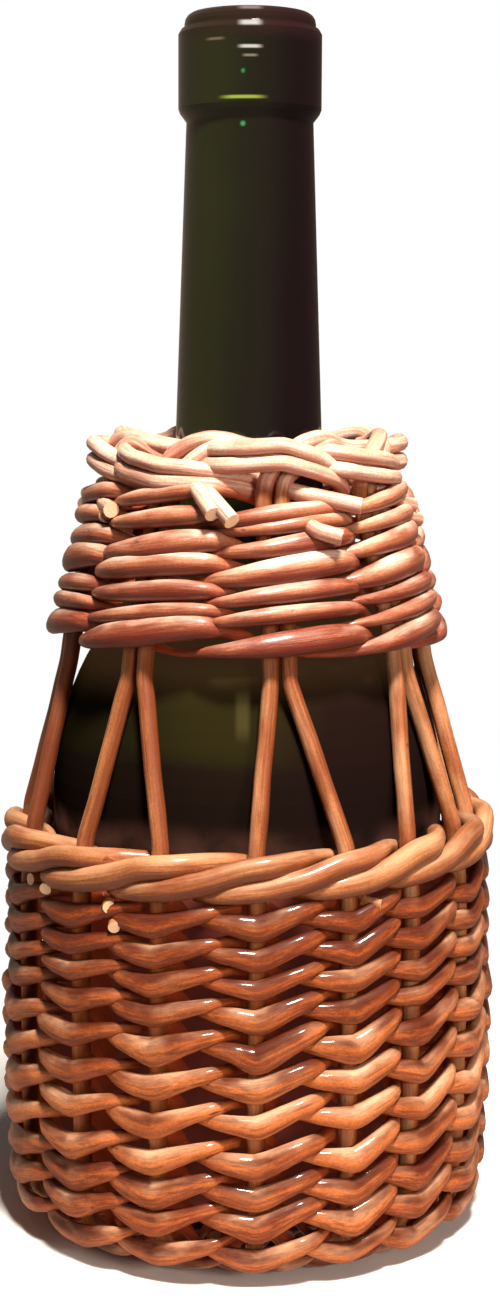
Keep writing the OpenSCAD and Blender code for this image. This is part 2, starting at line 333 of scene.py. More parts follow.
class Wire:
    # A socket's output, with sums written as in Python
    def __init__(self, tree, socket):
        self.tree, self.socket = tree, socket

    def maths(self, operation, other, turned=False):
        pair = (other, self) if turned else (self, other)
        return self.tree.add("ShaderNodeMath", {"operation": operation}, {0: pair[0], 1: pair[1]})

    def __add__(self, other):
        return self.maths("ADD", other)

    __radd__ = __add__

    def __sub__(self, other):
        return self.maths("SUBTRACT", other)

    def __rsub__(self, other):
        return self.maths("SUBTRACT", other, True)

    def __mul__(self, other):
        return self.maths("MULTIPLY", other)

    __rmul__ = __mul__


class Finish:
    # A material and one way of adding any node to it
    def __init__(self, name):
        self.material = bpy.data.materials.new(name)
        self.material.use_nodes = True
        self.nodes = self.material.node_tree.nodes
        self.links = self.material.node_tree.links
        self.nodes.clear()

    def add(self, kind, settings=None, inputs=None, output=0):
        node = self.nodes.new(kind)
        for key, value in (settings or {}).items():
            setattr(node, key, value)
        for key, value in (inputs or {}).items():
            socket = node.inputs[key]
            if isinstance(value, Wire):
                self.links.new(value.socket, socket)
            else:
                socket.default_value = value
        return Wire(self, node.outputs[output])

    def place(self):
        return self.add("ShaderNodeTexCoord", output=3)

    def axis(self, vector, i):
        return self.add("ShaderNodeSeparateXYZ", {}, {"Vector": vector}, output=i)

    def distance(self, a, b):
        return self.add("ShaderNodeVectorMath", {"operation": "DISTANCE"}, {0: a, 1: b}, output=1)

    def size(self, value):
        return self.add("ShaderNodeMath", {"operation": "ABSOLUTE"}, {0: value})

    def noise(self, vector, scale, detail):
        inputs = {"Vector": vector, "Scale": scale, "Detail": detail}
        return self.add("ShaderNodeTexNoise", {}, inputs)

    def bump(self, height, strength, distance):
        inputs = {"Height": height, "Strength": strength, "Distance": distance}
        return self.add("ShaderNodeBump", {}, inputs)

    def mix(self, factor, a, b):
        settings = {"data_type": "RGBA", "blend_type": "MIX"}
        return self.add("ShaderNodeMix", settings, {0: factor, 6: a, 7: b}, output=2)

    def ramp(self, value, low, high):
        # 0 at low and 1 at high, with a soft start and end
        settings = {"interpolation_type": "SMOOTHSTEP"}
        return self.add("ShaderNodeMapRange", settings, {0: value, 1: low, 2: high})

    def surface(self, **inputs):
        named = {key.replace("_", " "): value for key, value in inputs.items()}
        bsdf = self.add("ShaderNodeBsdfPrincipled", {}, named)
        end = self.nodes.new("ShaderNodeOutputMaterial")
        self.links.new(bsdf.socket, end.inputs["Surface"])
        return self.material


# What all the willow has in common. A pattern is its stretch along and round the
# rod, its scale and its detail, and relief is a bump's strength and its depth
bark = {
    "streak": ((0.045, 1, 1), 1.5, 4),
    "patch": ((0.25, 0.5, 0.5), 0.30, 3),
    "fibre": ((0.07, 2.4, 2.4), 2.4, 2),
    "mottle": ((0.7, 1, 1), 2.6, 4),
    "knot": ((0.5, 1, 1), 0.42, 2),
    # Painted shade for rods deep behind the stakes and for the upper side of rods under the row above
    "behindStakeShade": srgb(152, 56, 26),
    "upperShadeColour": srgb(66, 20, 8),
    "cutFace": srgb(232, 190, 152),
    "deepGlow": (0.040, 0.006, 0.002, 1),
    "stakeGlow": (0.055, 0.013, 0.002, 1),
    "relief": (0.45, 0.0005),
    "coat": 0.5,
}

# Each sort of willow: its colours, where it is painted pale in patches, as wear
# and as a painted highlight, how dark the painted shade on its lower side and on
# its upper side is, and how it shines. borderTones are pale, middle and dark where
# the stakes form the top border
willowLooks = {
    "willow_pale": {
        "name": "willowPale",
        "pale": srgb(196, 122, 84), "middle": srgb(152, 76, 48), "dark": srgb(98, 27, 12),
        "speck": srgb(92, 36, 20), "wearAndHighlight": srgb(254, 228, 206), "wearAndHighlightShare": 0.8, "wearAndHighlightByTone": 0.05,
        "lowerShade": 0.9, "upperShadeShare": 0, "rough": 0.42, "shine": 0.45, "coatRough": 0.20,
    },
    "willow_tan": {
        "name": "willowTan",
        "pale": srgb(190, 120, 70), "middle": srgb(152, 82, 42), "dark": srgb(104, 44, 18),
        "speck": srgb(80, 34, 20), "wearAndHighlight": srgb(240, 196, 156), "wearAndHighlightShare": 0.35, "wearAndHighlightByTone": 0,
        "lowerShade": 0.78, "upperShadeShare": 0, "rough": 0.45, "shine": 0.35, "coatRough": 0.17,
        "borderTones": (srgb(252, 220, 200), srgb(234, 182, 156), srgb(160, 86, 62)),
    },
    "willow_brown": {
        "name": "willowBrown",
        "pale": srgb(204, 112, 53), "middle": srgb(162, 77, 32), "dark": srgb(92, 32, 12),
        "speck": srgb(70, 24, 12), "wearAndHighlight": srgb(248, 206, 168), "wearAndHighlightShare": 0.62, "wearAndHighlightByTone": 0.06,
        "lowerShade": 0.4, "upperShadeShare": 0.86, "rough": 0.48, "shine": 0.18, "coatRough": 0.12,
    },
}


def willow(look):
    f = Finish(look["name"])
    grain = f.add("ShaderNodeAttribute", {"attribute_name": "grain"}, output=1)
    tone, cut, side = (
        f.add("ShaderNodeAttribute", {"attribute_name": name}, output=2)
        for name in ("tone", "cutEnd", "side")
    )

    def pattern(name):
        stretch, scale, detail = bark[name]
        stretched = f.add("ShaderNodeMapping", {}, {"Vector": grain, "Scale": stretch})
        return f.noise(stretched, scale, detail)

    streak, patch, fibre, mottle, knot = (
        pattern(name) for name in ("streak", "patch", "fibre", "mottle", "knot"))
    knot = f.ramp(knot, 0.70, 0.77)
    tones = (look["pale"], look["middle"], look["dark"])
    if "borderTones" in look:
        high = f.ramp(side, 1.2, 1.8)
        tones = (f.mix(high, a, b) for a, b in zip(tones, look["borderTones"]))
    pale, middle, dark = tones
    body = f.mix(f.ramp(patch + 0.08 * tone, 0.32, 0.68), middle, pale)
    body = f.mix(0.62 * f.ramp(streak + 0.05 * tone, 0.56, 0.36), body, dark)
    body = f.mix(0.30 * f.ramp(mottle, 0.62, 0.40), body, dark)
    body = f.mix(knot * 0.75, body, look["speck"])
    body = f.mix(0.35 * f.ramp(fibre, 0.54, 0.70), body, pale)
    # below is how far under its middle a place on the rod lies. Its upper outer
    # side is painted paler in patches, as wear and as a painted highlight, its lower
    # side gets painted shade, painted shade from the row above lies on its upper side
    # where it isn't paler, and where it runs behind a stake it gets painted shade
    below = f.axis(grain, 2)
    # Pale patches on the upper outer side, part wear and part painted highlight
    shift = look["wearAndHighlightByTone"]
    wearAndHighlight = f.ramp(patch + shift * tone, 0.28 + shift, 0.72 + shift / 2)
    wearAndHighlight = wearAndHighlight * f.ramp(below + 2.4 * fibre, 1.5, -1) * f.ramp(side, 0.4, 1)
    body = f.mix(wearAndHighlight * look["wearAndHighlightShare"], body, look["wearAndHighlight"])
    # Painted shade on the lower side of the rod
    body = f.mix(f.ramp(below, -0.4, 1.6) * look["lowerShade"], body, dark)
    # Painted shade on the upper side, from the row above, less where the rod is paler
    above = f.ramp(below + 0.8 * fibre, 0.5, -1.3) * (1 - 0.85 * wearAndHighlight)
    body = f.mix(above * look["upperShadeShare"], body, bark["upperShadeColour"])
    # Painted shade where a rod runs behind a stake
    body = f.mix(f.ramp(side, 0.8, -0.6) * 0.7, body, bark["behindStakeShade"])
    body = f.mix(cut * 0.85, body, bark["cutFace"])
    bump = f.bump(streak * 0.6 + fibre * 0.25 + mottle * 0.2 - knot * 0.5, *bark["relief"])
    # The little light that rods throw on each other deep in the weave
    glow = f.mix(f.ramp(side, 0.6, -0.4), (0, 0, 0, 1), bark["deepGlow"])
    if "borderTones" in look:
        # In the wall a stake is lit along its middle, where it shows between the rods
        lit = f.ramp(f.axis(f.place(), 2), 0.083, 0.076) * f.ramp(f.size(below), 2.0, 0.6)
        glow = f.mix(lit, glow, bark["stakeGlow"])
    return f.surface(
        Base_Color=body, Roughness=look["rough"] + 0.16 * streak, Normal=bump,
        Emission_Color=glow, Emission_Strength=1.0,
        Specular_IOR_Level=look["shine"], Coat_Weight=bark["coat"],
        Coat_Roughness=look["coatRough"])


willows = {slotName: willow(look) for slotName, look in willowLooks.items()}


# The glass: its tints from left to right, which are painted light and shade, what
# it mirrors and what lights it. A gleam is a painted highlight: its height, its
# middle and half its width across, half its height and its colour, and a point is a
# painted glint: its height and its distance from the axis. In metres
glassLook = {
    "neck": (srgb(36, 41, 14), srgb(15, 16, 8), srgb(18, 6, 11)),
    "lip": srgb(38, 20, 20),
    "body": (srgb(31, 27, 13), srgb(27, 16, 13)),
    "throughLight": srgb(40, 35, 14),
    "throughPlace": (-0.004, -0.037, 0.117),
    "darkBelow": srgb(24, 15, 13),
    "basketShadeTint": srgb(104, 50, 40),
    "insideGlow": (0.030, 0.006, 0.004, 1),
    "collarMirrored": (0.030, 0.015, 0.006, 1),
    "rimMirrored": (0.070, 0.026, 0.017, 1),
    "gleams": [
        (0.2561, 0, 0.0030, 0.0008, srgb(235, 230, 220)),
        (0.2513, 0, 0.0030, 0.0005, srgb(225, 220, 205)),
        (0.2412, -0.0014, 0.0056, 0.0005, srgb(170, 190, 70)),
        (0.2594, 0, 0.0032, 0.0006, srgb(160, 140, 138)),
        (0.2495, 0, 0.0020, 0.0004, srgb(140, 130, 112)),
        (0.2530, -0.0072, 0.0024, 0.0004, srgb(124, 94, 78)),
        (0.1160, -0.0010, 0.0020, 0.0060, srgb(70, 60, 32)),
    ],
    "points": [(0.2464, 0.0157), (0.2360, 0.0139)],
    "glintAside": -0.0015,
    "glintColour": srgb(60, 190, 110),
    "relief": (0.10, 0.002),
    "rough": 0.14,
    "coatRough": 0.10,
}


def darkGlass():
    look = glassLook
    f = Finish("darkGlass")
    place = f.place()
    x, y, z = (f.axis(place, i) for i in range(3))
    ripple = f.noise(place, 30.0, 2.0)
    smear = f.noise(place, 90.0, 4.0)
    # Painted light and shade across the neck and the body, lighter to the left
    left, middle, right = look["neck"]
    neck = f.mix(f.ramp(x + 0.010 * ripple, -0.010, 0.006), left, middle)
    neck = f.mix(f.ramp(x + 0.012 * ripple, 0.004, 0.020), neck, right)
    neck = f.mix(f.ramp(z, 0.2525, 0.2555) * 0.6, neck, look["lip"])
    body = f.mix(f.ramp(x + 0.012 * ripple, 0.002, 0.022), *look["body"])
    # Light that has come through the shoulder from behind, and the dark below it
    through = f.distance(place, look["throughPlace"]) + 0.010 * ripple
    body = f.mix(f.ramp(through, 0.030, 0.010) * 0.6, body, look["throughLight"])
    body = f.mix(f.ramp(z + 0.006 * ripple, 0.1125, 0.107) * 0.85, body, look["darkBelow"])
    tint = f.mix(f.ramp(z, 0.150, 0.135), neck, body)
    # Inside the basket the glass is painted red-brown, for shade and the willow mirrored in it, and
    # given a little painted light
    tint = f.mix(f.ramp(z, 0.089, 0.081), tint, look["basketShadeTint"])
    gleam = f.mix(f.ramp(z, 0.088, 0.080), (0, 0, 0, 1), look["insideGlow"])
    # The collar and the rim mirrored in the shoulder
    above = f.ramp(z + 0.006 * ripple, 0.119, 0.129) * f.ramp(z, 0.150, 0.140)
    gleam = f.mix(above, gleam, look["collarMirrored"])
    near = f.ramp(z + 0.004 * ripple, 0.0970, 0.0905) * f.ramp(z, 0.086, 0.089)
    gleam = f.mix(near * f.ramp(smear, 0.3, 0.7), gleam, look["rimMirrored"])
    front = f.ramp(y, -0.010, -0.0135)
    for height, middle, width, half, colour in look["gleams"]:
        level, aside = f.size(z - height), f.size(x - middle)
        bar = f.ramp(level, half, half / 4) * f.ramp(aside, width, width / 3) * front
        gleam = f.mix(bar, gleam, colour)
    # Two painted green glints on the neck
    for height, radius in look["points"]:
        spot = f.distance(place, (look["glintAside"], -radius, height))
        gleam = f.mix(f.ramp(spot, 0.0009, 0.0003), gleam, look["glintColour"])
    # The right side of the neck is duller than its left side, and the body has no gloss
    gloss = f.ramp(z, 0.140, 0.165) * (1 - 0.65 * f.ramp(x, 0.001, 0.009))
    return f.surface(
        Base_Color=tint, Roughness=look["rough"] + 0.06 * smear,
        Normal=f.bump(ripple, *look["relief"]), IOR=1.5,
        Specular_IOR_Level=0.0, Coat_Weight=gloss, Coat_Roughness=look["coatRough"],
        Emission_Color=gleam, Emission_Strength=1.0)


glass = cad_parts["glass_bottle"]
glass.data.materials.clear()
glass.data.materials.append(darkGlass())
print("materials made")


def dress(piece, slotName, *nodes):
    piece.data.materials.clear()
    piece.data.materials.append(willows[slotName])
    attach(piece, "root")
    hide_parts(*nodes)
    return piece


# A pass over a stake is a V with its kink on the stake. Its right arm climbs
# and stays outside until close to the next stake, its left arm comes out flat
# from under the arm before it. Along the row in stake steps, off the wall in
# reaches, up in row heights, and size
frontV = [
    (0, 1, -0.3, 1.2), (0.12, 1, -0.18, 1.14), (0.3, 1, 0.03, 1.02), (0.48, 0.94, 0.2, 0.93),
    (0.62, 0.72, 0.29, 0.8), (0.75, 0.15, 0.33, 0.7), (0.86, -0.6, 0.3, 1),
    (1, -1, 0.24, 1.25), (1.12, -0.95, 0.08, 1.15), (1.24, -0.6, -0.08, 0.74),
    (1.36, 0.05, -0.12, 0.58), (1.48, 0.48, -0.14, 0.72), (1.62, 0.8, -0.17, 0.9),
    (1.8, 0.98, -0.21, 1.07),
]

# How the passes differ. Left of the middle, between the two angles, they lie
# calmer: flatter, a little thinner, and with more of a belly and a kink. Each
# angle goes with the width over which the calm sets in. The ends are where a
# rod stops, within the weave, from its first stake and from its last
passes = {
    "fat": (0.86, 1.1),
    "steep": (0.8, 1.2),
    "calmRight": (-2, 16),
    "calmLeft": (-75, 20),
    "calmThinner": 0.05,
    "calmFlatter": 0.3,
    "calmKink": 0.05,
    "belly": (0.3, 0.7),
    "ends": (-1, -0.62),
}


def restlessRow(size):
    # How far a whole row has slipped up or down at each stake
    return [draw.uniform(-size, size) for _ in range(basket["stakes"])]


def twinedRod(first, ring, thick, tall, lift, reach, slip, kink):
    count = basket["stakes"]
    start, finish = passes["ends"]
    path = []
    for turn in range(-1, count // 2 + 1):
        fat, steep = draw.uniform(*passes["fat"]), draw.uniform(*passes["steep"])
        a = (stakeAngle(first + 2 * turn) + 180) % 360 - 180
        (right, rightWidth), (left, leftWidth) = passes["calmRight"], passes["calmLeft"]
        calm = share((right - a) / rightWidth) * share((a - left) / leftWidth)
        fat *= 1 - passes["calmThinner"] * calm
        steep *= 1 - passes["calmFlatter"] * calm
        belly = passes["belly"][0] + passes["belly"][1] * calm
        for u, off, up, size in frontV:
            v = 2 * turn + u
            if start <= v <= count + finish:
                # near is 1 on the stake, and a pass is fuller there than between stakes
                near = max(0, 1 - 2 * min(u, 2 - u))
                size *= 1 + belly * (0.24 * near - 0.12)
                k = math.floor(first + v)
                before, after = slip[k % count], slip[(k + 1) % count]
                here = before + (first + v - k) * (after - before)
                up = (up * steep - (kink + passes["calmKink"] * calm) * near) * lift + here
                path.append(ring(
                    stakeAngle(first + v), thick * min(1, size * fat), tall * size * fat,
                    off * reach, up, off))
    return path


def twinedPair(first, ring, thick, tall, lift, reach, restless, kink=0.04):
    # The two rods of a row, each in front where the other is behind
    slip = restlessRow(restless)
    return [twinedRod(first + s, ring, thick, tall, lift, reach, slip, kink) for s in (0, 1)]


def rowStart(i):
    # Each row begins three stakes further round than the one below it
    return 5 + 3 * i


def wallRing(z):
    def ring(angle, thick, tall, off, up, side):
        return station(angle, wallR(z), z, 90, thick, tall, off, up, side)
    return ring


def turnRing(s, raised=0):
    r, z, slope = onTurn(s)
    z += raised

    def ring(angle, thick, tall, off, up, side):
        return station(angle, r, z, slope, thick, tall, off, up, side)
    return ring


# The rows of the wall. tone is the lowest row's and what each row adds to it
wall = {
    "rows": 8, "thickRows": 4,
    "thickPitch": 7.7, "thickRod": 3.9, "thickTall": 4.7,
    "finePitch": 6.1, "fineRod": 3.2, "fineTall": 4.15,
    "clear": 0.25, "restless": 0.55, "tone": (1.0, -0.45),
    "form": {"rings": 460, "sides": 12, "rounding": 1, "uneven": 0.07},
}


def wallRow(i):
    sort = "thick" if i < wall["thickRows"] else "fine"
    pitch, rod, tall = (wall[sort + part] for part in ("Pitch", "Rod", "Tall"))
    thickTop = basket["wallFoot"] + wall["thickRows"] * wall["thickPitch"]
    if sort == "thick":
        z = basket["wallFoot"] + (i + 0.5) * pitch
    else:
        z = thickTop + (i - wall["thickRows"] + 0.5) * pitch
    reach = (basket["stakeD"] + rod) / 2 + wall["clear"]
    paths = twinedPair(rowStart(i), wallRing(z), rod, tall, pitch, reach, wall["restless"])
    tone, each = wall["tone"]
    row = makeRods(f"wallRow{i + 1}", paths, tone=tone + each * i, **wall["form"])
    dress(row, "willow_brown", f"wall_row_{i + 1}")


for i in range(wall["rows"]):
    wallRow(i)
print("wall woven")


base = {
    "rod": 3, "tall": 3.8, "rows": 3, "rowPitch": 8.6, "lift": 6, "clear": 0.3, "restless": 0.2,
    "stickD": 3.4, "stickEnd": turnMiddle - 3.4, "stickPitch": 3.8, "stickRise": 1.9,
    "crossHalf": 7, "bendR": 10.3,
    "form": {"rings": 200, "sides": 10, "rounding": 3, "roam": 0.05},
    "stickForm": {"rings": 40, "sides": 12, "rounding": 2, "roam": 0.04},
}


def baseRow(i):
    r = base["stickEnd"] + 0.1 - (i - 0.5) * base["rowPitch"]

    def ring(angle, thick, tall, off, up, side):
        return station(angle, r, basket["baseZ"], 0, thick, tall, off, up, side)

    # The sticks lie halfway between the stakes
    first = 3 * i + 0.5
    reach = (base["stickD"] + base["rod"]) / 2 + base["clear"]
    paths = twinedPair(
        first, ring, base["rod"], base["tall"], base["lift"], reach, base["restless"])
    row = makeRods(f"baseRow{i}", paths, **base["form"])
    dress(row, "willow_brown", f"base_row_{i}")


for i in range(1, base["rows"] + 1):
    baseRow(i)


# The foot row, on the turn of the stakes, and the low rows above it
foot = {
    "rod": 3.3, "tall": 4.8, "raised": 0.7, "slope": 22, "lift": 5.8, "pitch": 5.5,
    "kink": 0.16, "lowRows": 3, "lowPitch": 6.2, "lowKink": 0.14,
    "clear": 0.25, "restless": 0.3,
    "form": {"rings": 460, "sides": 12, "rounding": 2, "uneven": 0.08, "roam": 0.06},
}
footDown = math.radians(90 - foot["slope"]) * basket["turnR"]


def lowRow(name, node, i, place, lift, kink):
    reach = (basket["stakeD"] + foot["rod"]) / 2 + foot["clear"]
    paths = twinedPair(
        rowStart(i), place, foot["rod"], foot["tall"], lift, reach, foot["restless"], kink)
    row = makeRods(name, paths, **foot["form"])
    dress(row, "willow_brown", node)


lowRow("footRow", "foot_row", 0, turnRing(footDown, foot["raised"]), foot["lift"], foot["kink"])
for i in range(1, foot["lowRows"] + 1):
    z = turnZ - footDown + foot["pitch"] / 2 + (i - 0.5) * foot["lowPitch"]
    place = turnRing(turnZ - z) if z < turnZ else wallRing(z)
    lowRow(f"lowRow{i}", f"low_row_{i}", i, place, foot["lowPitch"], foot["lowKink"])
print("base woven")


# The rim border, and under it five cut ends of the wall's rods: the angle of
# each, its height, and how far it turns on its way out
rim = {
    "rod": 4.9, "thick": 4.0, "insideShare": 0.8, "grow": (0.92, 1.08),
    "clear": 0.2, "rise": 2.4, "lift": 4.6,
    "form": {"rings": 46, "sides": 16, "rounding": 3, "uneven": 0.04},
    "ends": [(-34, 79.4, 0.7), (-32.4, 75.4, 0.7), (-61, 81.4, 0.5), (-54, 80.6, 0.5), (28, 78.6, 1)],
    "endOut": 1.6, "endDrop": 0.2, "endThick": 2.5, "endTall": 2.7, "endReaches": (0, 1.4, 2.8),
}


def rimBorder():
    rodD, thick = rim["rod"], rim["thick"]
    out = (basket["stakeD"] + thick) / 2 + rim["clear"]
    inside = (basket["stakeD"] + thick * rim["insideShare"]) / 2 + rim["clear"]
    low = basket["wallTop"] + rim["rise"]
    # Along the rim in stake steps, off the wall, up in lifts, and size
    route = [
        (-0.62, 0.4, -0.34, 0.4), (-0.42, out - 0.9, -0.22, 0.62), (-0.15, out, -0.05, 0.9),
        (0.15, out, 0.1, 1), (0.5, out, 0.42, 1.04),
        (0.88, out, 1.0, 1.04), (1.16, out, 1.1, 1), (1.5, 0.6, 1.14, 0.9),
        (1.84, -inside, 1.0, 0.78), (2.16, -inside, 0.7, 0.66),
    ]
    paths = []
    for k in range(basket["stakes"]):
        grow = draw.uniform(*rim["grow"])
        paths.append([
            station(
                stakeAngle(k + u), wallR(basket["wallTop"]), low + up * rim["lift"], 90,
                thick * size * grow, rodD * size * grow, off)
            for u, off, up, size in route
        ])
    for angle, z, turn in rim["ends"]:
        paths.append([
            station(
                angle + turn * reach, wallR(z) + rim["endOut"] + reach,
                z - reach * rim["endDrop"], 90, rim["endThick"], rim["endTall"])
            for reach in rim["endReaches"]
        ])
    border = makeRods("rimBorder", paths, **rim["form"])
    dress(border, "willow_tan", "rim_border")


rimBorder()
print("rim laid")


# The collar's rows from the lowest up. sunk holds passes that have slipped along
# their pair, by row and pair, tone is as in the wall, and the ends are in pairs
collar = {
    "tall": [5.2, 3.7, 4.0, 5.3, 4.9, 3.9, 4.2],
    "thick": 3.9,
    "clear": 0.3,
    "slip": (-0.13, 0.13), "lean": (0.8, 1.4), "fat": (0.86, 1.08), "rise": (-0.12, 0.12),
    "sunk": {(6, 0): -2.2, (6, 7): 0.8, (5, 0): -0.9, (5, 7): 0.5},
    "tone": (-0.9, 0.32),
    "ends": (-1, 7.1),
    "form": {"rings": 260, "sides": 14, "rounding": 2},
}

# A pass over a pair is a spindle that climbs to the right: along the row in
# pairs, off the wall in reaches, up in rods, and size
spindle = [
    (-0.78, -0.9, -0.3, 0.32), (-0.64, -0.2, -0.37, 0.36), (-0.5, 0.45, -0.39, 0.48),
    (-0.34, 0.85, -0.34, 0.7), (-0.16, 1.02, -0.2, 0.93), (0.04, 1.08, -0.02, 1.08),
    (0.22, 1.06, 0.14, 1.12), (0.38, 1, 0.24, 1.04), (0.52, 0.85, 0.29, 0.86),
    (0.64, 0.3, 0.27, 0.62), (0.76, -0.5, 0.18, 0.46), (0.9, -1, 0.04, 0.42),
    (1.06, -1, -0.12, 0.4),
]


def collarRow(i, z):
    tall, thick = collar["tall"][i], collar["thick"]
    slope = 90 + basket["collarLean"]

    def ring(angle, thick, tall, off, up, side):
        return station(angle, collarMiddle(z), z, slope, thick, tall, off, up, side)

    reach = (basket["stakeD"] + thick) / 2 + collar["clear"]
    start, finish = collar["ends"]
    paths = []
    for s in (0, 1):
        first = 4 + i + s
        path = []
        for k in range(-1, pairCount + 1):
            shift, lean = draw.uniform(*collar["slip"]), draw.uniform(*collar["lean"])
            sunk = collar["sunk"].get((i, (first + 2 * k) % pairCount), 0)
            fat, rise = draw.uniform(*collar["fat"]), draw.uniform(*collar["rise"])
            for u, off, up, size in spindle:
                v = 2 * k + u
                if start <= v <= finish:
                    free = max(0, 1 - abs(u) / 0.7)
                    path.append(ring(
                        pairAngle(first + v + shift * free), thick * min(1, size + 0.16) * fat,
                        tall * size * fat, off * reach, (up * lean + rise) * tall + sunk, off))
        paths.append(path)
    tone, each = collar["tone"]
    row = makeRods(f"collarRow{i + 1}", paths, tone=tone + each * i, **collar["form"])
    dress(row, "willow_pale", f"collar_row_{i + 1}")


collarZ = basket["collarFoot"]
stretch = (basket["collarTop"] - basket["collarFoot"]) / sum(collar["tall"])
for i, tall in enumerate(collar["tall"]):
    collarRow(i, collarZ + tall * stretch / 2)
    collarZ += tall * stretch
print("collar woven")


# The stakes. turnBends are angles on the turn, wallBends are the heights in the
# wall at which they bulge out, and the slopes are those of the collar's foot, its
# top and the border. lift, tipReach, tipDrop and tipEnd are ranges for the pairs
# that aren't listed one by one below
stakes = {
    "d": 3.6, "footRun": 2.9, "turnBends": (22.5, 45, 67.5, 90),
    "wallBends": (basket["wallFoot"], 53, 77), "bulge": 0.9, "offGlass": 1.9,
    "slopes": (105, 100, 96), "borderSize": 0.96,
    "lift": (-1.4, 1), "tipReach": (5, 7), "tipDrop": (-4, -1), "tipEnd": (0.12, 0.3),
    "form": {"rings": 330, "sides": 12, "rounding": 2, "uneven": 0.03, "roam": 0.1},
}

# Round the border: along it in pairs, off the collar's middle, and up from its
# top. Each pair goes in behind the next one, lies in front of the second, goes
# in behind the third, and its cut ends come out again
overLeft = [
    (-0.05, 0.2, 4), (0.1, 0.3, 8.2), (0.27, 0.1, 10.6), (0.44, -0.6, 11.6), (0.6, -2, 11.2),
    (0.75, -3.2, 10), (1, -3.9, 9.3), (1.25, -3.2, 9.2), (1.42, -0.6, 9.2), (1.56, 1.8, 9.3),
    (1.75, 3.4, 9.3), (2.06, 4.1, 9.4), (2.3, 3.2, 7.8), (2.53, 1.2, 5.8), (2.68, -1.2, 4.4),
    (2.85, -3.3, 3.2), (3, -3.7, 2.2), (3.12, -1.2, 1.2), (3.22, 1.8, 0.6),
]
overRight = [
    (0.11, 0.2, 3.5), (0.3, 0.4, 7.2), (0.45, 0.1, 9.6), (0.58, -1, 10.6), (0.7, -3, 8.8),
    (0.82, -3.8, 7), (1, -4, 6.2), (1.2, -3.6, 6), (1.34, -1.4, 5.9), (1.46, 1.2, 5.9),
    (1.62, 3.2, 5.9), (2.06, 4.3, 6), (2.3, 3.6, 4.6), (2.55, 1.8, 3), (2.7, -0.6, 1.6),
    (2.85, -3, 0.4), (3, -3.6, -0.6), (3.12, -1.4, -2.4), (3.2, 3, -5.2),
]
# By pair: where the border lies higher or lower in front, how a route comes out
# at its end instead, and where the cut ends point
borderLift = {4: 0.4, 5: -3.4, 6: 0.9, 7: -2.4}
overEnd = {4: [(3.12, -3, 1.6), (3.3, -0.4, 2.4)]}
tipLeft = {4: [(3.40, 4.6, 1.2), (3.55, 8.8, -3.2)], 5: [(3.38, 4.2, -0.4), (3.60, 9, -2)]}
tipRight = {4: [(3.52, 5.6, 0), (3.68, 9.4, -4.6)], 5: [(3.26, 8.6, -6.6), (3.40, 11.4, -7.9)]}


def halfPair(r):
    # Half the angle between the stakes of a pair that lie side by side at r
    return math.degrees(math.asin((basket["stakeD"] + basket["gap"]) / 2 / r))


def stakeStation(a, r, z, slope=90, size=1.0, side=1):
    s, c = sind(a), cosd(a)
    way = [s * sind(slope), -c * sind(slope), -cosd(slope)]
    return [r * s, -r * c, z, *way, stakes["d"] * size, stakes["d"] * size, side]


def borderRoute(pair, left):
    tips = (tipLeft if left else tipRight).get(pair)
    if tips is None:
        reach = draw.uniform(*stakes["tipReach"])
        drop = draw.uniform(*stakes["tipDrop"]) - (0 if left else 3)
        end = 3.36 + draw.uniform(*stakes["tipEnd"])
        tips = [(3.36, reach - 2, drop + 1), (end, reach, drop)]
    over = overLeft if left else overRight
    if pair in overEnd:
        over = over[:-2] + overEnd[pair]
    return over + tips


def stakeRod(k):
    pair = k // 2
    middle, side = pairAngle(pair), sideOf(k)
    ground, angle = basket["baseZ"], footAngle(k)
    lift = borderLift.get(pair, draw.uniform(*stakes["lift"]))
    path = [
        stakeStation(angle, turnMiddle - stakes["footRun"], ground, 0),
        stakeStation(angle, turnMiddle, ground, 0),
    ]
    for b in stakes["turnBends"]:
        r, z = turnMiddle + basket["turnR"] * sind(b), turnZ - basket["turnR"] * cosd(b)
        path.append(stakeStation(angle, r, z, b))
    for z in stakes["wallBends"]:
        size = 1 + 0.12 * stakes["bulge"]
        path.append(stakeStation(angle, wallR(z) + stakes["bulge"], z, 90, size))
    path.append(stakeStation(angle, wallR(windowZ), windowZ))
    footSlope, topSlope, borderSlope = stakes["slopes"]
    z, low = basket["windowEnd"], middle + side * halfPair(collarR)
    r = glassR(z) + stakes["offGlass"] + basket["stakeD"] / 2
    path.append(stakeStation(low, r, z, footSlope))
    z = basket["collarBend"]
    path.append(stakeStation(low, collarMiddle(z), z, footSlope))
    topZ = basket["collarTop"]
    topR = collarMiddle(topZ)
    path.append(stakeStation(middle + side * halfPair(topR), topR, topZ, topSlope))
    # Lifted most where it lies in front of the second pair. A side of 2 marks
    # the border for the willow's paler tones
    for u, off, up in borderRoute(pair, side < 0):
        front = max(0, 1 - abs(u - 2.06) / 0.7)
        path.append(stakeStation(
            middle + u * 2 * step, topR + off, topZ + up + lift * front,
            borderSlope, stakes["borderSize"], 2))
    return path


for k in range(basket["stakes"]):
    stake = makeRods(f"stake{k + 1}", [stakeRod(k)], **stakes["form"])
    dress(stake, "willow_tan", f"stake_{k + 1}")
print("stakes set")


def flatStation(x, y, z):
    return [x, y, z, 0, 0, -1, base["stickD"], base["stickD"], 1]


def spoke(k, r):
    a = stakeAngle(k) + step / 2
    return flatStation(r * sind(a), -r * cosd(a), basket["baseZ"])


